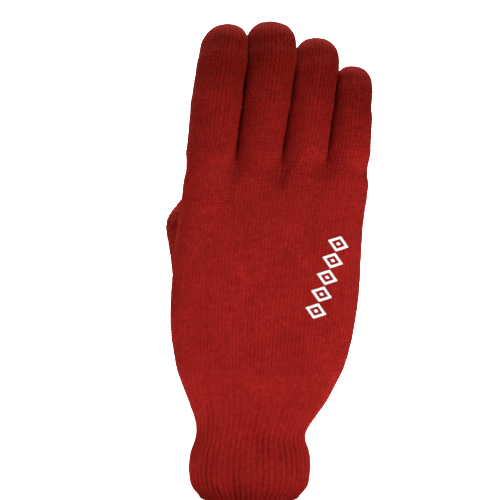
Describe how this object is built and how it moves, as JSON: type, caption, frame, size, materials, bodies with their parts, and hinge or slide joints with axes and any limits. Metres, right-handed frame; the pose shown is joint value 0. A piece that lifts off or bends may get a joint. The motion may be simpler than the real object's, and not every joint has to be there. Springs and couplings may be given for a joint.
{
  "type": "knitted touchscreen glove",
  "caption": "Ribbed-cuff stretch-knit glove for the right hand with touch-sensitive fingertips, a plain printed mark on its back and fingers that bend.",
  "frame": {"origin": "centre of the wrist opening, in the plane of the hem's lower edge", "axes": "+Z from the wrist to the fingertips, +Y to the palm side, +X to the little-finger side; the back of the hand faces -Y"},
  "size_m": [0.0979, 0.0565, 0.231],
  "materials": {
    "plain_knit": "brushed single jersey knit, marled red yarn",
    "rib_knit": "one-by-one rib knit",
    "touch_knit": "jersey knit plated with conductive yarn, slightly darker",
    "red_thread": "overlock and linking thread",
    "elastic_thread": "covered elastic thread",
    "white_print": "white heat-transfer film"
  },
  "bodies": {
    "cuff": {"cuff_rib": "rib_knit", "cuff_hem": "red_thread", "cuff_elastic": "elastic_thread", "wrist_fold": "plain_knit"},
    "hand": {"palm_tube": "plain_knit", "back_print": "white_print", "crotch_stitches": "red_thread", "index_base_fold": "plain_knit", "middle_base_fold": "plain_knit", "ring_base_fold": "plain_knit", "little_base_fold": "plain_knit"},
    "index_lower": {"index_lower_tube": "plain_knit", "index_mid_fold": "plain_knit"},
    "index_upper": {"index_upper_tube": "plain_knit", "index_end_fold": "plain_knit"},
    "index_tip": {"index_touch_tip": "touch_knit", "index_closing_thread": "red_thread"},
    "middle_lower": {"middle_lower_tube": "plain_knit", "middle_mid_fold": "plain_knit"},
    "middle_upper": {"middle_upper_tube": "plain_knit", "middle_end_fold": "plain_knit"},
    "middle_tip": {"middle_touch_tip": "touch_knit", "middle_closing_thread": "red_thread"},
    "ring_lower": {"ring_lower_tube": "plain_knit", "ring_mid_fold": "plain_knit"},
    "ring_upper": {"ring_upper_tube": "plain_knit", "ring_end_fold": "plain_knit"},
    "ring_tip": {"ring_plain_tip": "plain_knit", "ring_closing_thread": "red_thread"},
    "little_lower": {"little_lower_tube": "plain_knit", "little_mid_fold": "plain_knit"},
    "little_upper": {"little_upper_tube": "plain_knit", "little_end_fold": "plain_knit"},
    "little_tip": {"little_plain_tip": "plain_knit", "little_closing_thread": "red_thread"},
    "thumb_lower": {"thumb_lower_tube": "plain_knit", "thumb_knuckle_fold": "plain_knit"},
    "thumb_tip": {"thumb_touch_tip": "touch_knit", "thumb_closing_thread": "red_thread"}
  },
  "joints": [
    {"name": "wrist_bend", "type": "hinge", "parent": "cuff", "child": "hand", "pos_m": [0.0004, 0, 0.033], "axis": [1, 0, 0], "range_deg": [-20, 20], "stiffness_Nm_per_rad": 0.3, "deforming": ["wrist_fold"]},
    {"name": "index_base_bend", "type": "hinge", "parent": "hand", "child": "index_lower", "pos_m": [-0.0189, 0, 0.167], "axis": [-0.9936, 0, 0.1132], "range_deg": [0, 60], "stiffness_Nm_per_rad": 0.02, "deforming": ["index_base_fold"]},
    {"name": "index_middle_bend", "type": "hinge", "parent": "index_lower", "child": "index_upper", "pos_m": [-0.01614, 0.00214, 0.19125], "axis": [-0.9936, 0, 0.1132], "range_deg": [0, 70], "stiffness_Nm_per_rad": 0.012, "deforming": ["index_mid_fold"]},
    {"name": "index_end_bend", "type": "hinge", "parent": "index_upper", "child": "index_tip", "pos_m": [-0.01387, 0.0064, 0.21117], "axis": [-0.9936, 0, 0.1132], "range_deg": [0, 42], "stiffness_Nm_per_rad": 0.006, "deforming": ["index_end_fold"]},
    {"name": "middle_base_bend", "type": "hinge", "parent": "hand", "child": "middle_lower", "pos_m": [0.0037, 0, 0.167], "axis": [-0.9932, 0, 0.1167], "range_deg": [0, 60], "stiffness_Nm_per_rad": 0.02, "deforming": ["middle_base_fold"]},
    {"name": "middle_middle_bend", "type": "hinge", "parent": "middle_lower", "child": "middle_upper", "pos_m": [0.00661, 0.00218, 0.19173], "axis": [-0.9932, 0, 0.1167], "range_deg": [0, 70], "stiffness_Nm_per_rad": 0.012, "deforming": ["middle_mid_fold"]},
    {"name": "middle_end_bend", "type": "hinge", "parent": "middle_upper", "child": "middle_tip", "pos_m": [0.009, 0.00654, 0.21214], "axis": [-0.9932, 0, 0.1167], "range_deg": [0, 42], "stiffness_Nm_per_rad": 0.006, "deforming": ["middle_end_fold"]},
    {"name": "ring_base_bend", "type": "hinge", "parent": "hand", "child": "ring_lower", "pos_m": [0.0256, 0, 0.167], "axis": [-0.9921, 0, 0.1253], "range_deg": [0, 60], "stiffness_Nm_per_rad": 0.02, "deforming": ["ring_base_fold"]},
    {"name": "ring_middle_bend", "type": "hinge", "parent": "ring_lower", "child": "ring_upper", "pos_m": [0.02841, 0.00196, 0.18924], "axis": [-0.9921, 0, 0.1253], "range_deg": [0, 70], "stiffness_Nm_per_rad": 0.012, "deforming": ["ring_mid_fold"]},
    {"name": "ring_end_bend", "type": "hinge", "parent": "ring_upper", "child": "ring_tip", "pos_m": [0.03062, 0.0057, 0.2067], "axis": [-0.9921, 0, 0.1253], "range_deg": [0, 42], "stiffness_Nm_per_rad": 0.006, "deforming": ["ring_end_fold"]},
    {"name": "little_base_bend", "type": "hinge", "parent": "hand", "child": "little_lower", "pos_m": [0.0465, 0, 0.1667], "axis": [-0.9969, 0, 0.0785], "range_deg": [0, 60], "stiffness_Nm_per_rad": 0.011, "deforming": ["little_base_fold"]},
    {"name": "little_middle_bend", "type": "hinge", "parent": "little_lower", "child": "little_upper", "pos_m": [0.04779, 0.00144, 0.18309], "axis": [-0.9969, 0, 0.0785], "range_deg": [0, 70], "stiffness_Nm_per_rad": 0.0066, "deforming": ["little_mid_fold"]},
    {"name": "little_end_bend", "type": "hinge", "parent": "little_upper", "child": "little_tip", "pos_m": [0.04879, 0.00414, 0.19576], "axis": [-0.9969, 0, 0.0785], "range_deg": [0, 42], "stiffness_Nm_per_rad": 0.0033, "deforming": ["little_end_fold"]},
    {"name": "thumb_swing", "type": "hinge", "parent": "hand", "child": "thumb_lower", "pos_m": [-0.0235, 0.0255, 0.0915], "axis": [0, -1, 0], "range_deg": [0, 50], "stiffness_Nm_per_rad": 0.03},
    {"name": "thumb_knuckle_bend", "type": "hinge", "parent": "thumb_lower", "child": "thumb_tip", "pos_m": [-0.0289, 0.0225, 0.131], "axis": [-0.2734, 0.9612, 0.0356], "range_deg": [-35, 15], "stiffness_Nm_per_rad": 0.015, "deforming": ["thumb_knuckle_fold"]}
  ],
  "couplings": [
    {"joint": "index_end_bend", "follows": "index_middle_bend", "ratio": 0.6},
    {"joint": "middle_end_bend", "follows": "middle_middle_bend", "ratio": 0.6},
    {"joint": "ring_end_bend", "follows": "ring_middle_bend", "ratio": 0.6},
    {"joint": "little_end_bend", "follows": "little_middle_bend", "ratio": 0.6}
  ]
}
